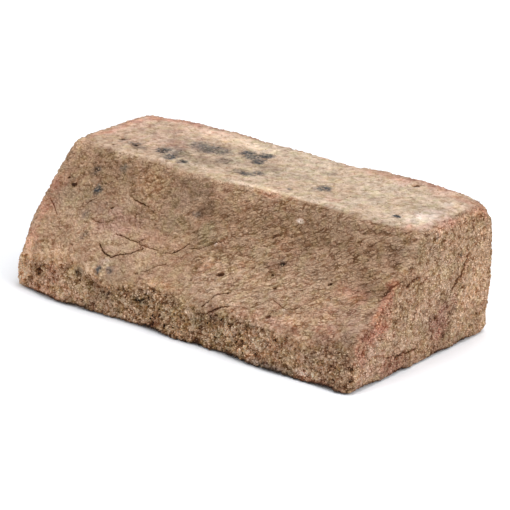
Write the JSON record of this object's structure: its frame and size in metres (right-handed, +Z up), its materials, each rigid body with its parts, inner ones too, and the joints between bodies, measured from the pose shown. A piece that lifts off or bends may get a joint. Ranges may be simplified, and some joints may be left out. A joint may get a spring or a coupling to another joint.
{
  "type": "clay plinth brick",
  "caption": "Hand-moulded fired clay plinth stretcher: a solid brick with an upright foot band, a hollowed weathering slope and a narrow top bed.",
  "frame": {"origin": "middle of the brick's outline on the flat bed that it lies on", "axes": "+X along the brick's length, +Z up from the bed to the top bed, -Y out of the sloped face"},
  "size_m": [0.2158, 0.1082, 0.0659],
  "materials": {
    "fired_clay": "unglazed fired clay, matt, coarse and sandy, buff to reddish brown with a few blue-black manganese spots"
  },
  "bodies": {
    "root": {"plinth_brick": "fired_clay"}
  },
  "joints": []
}
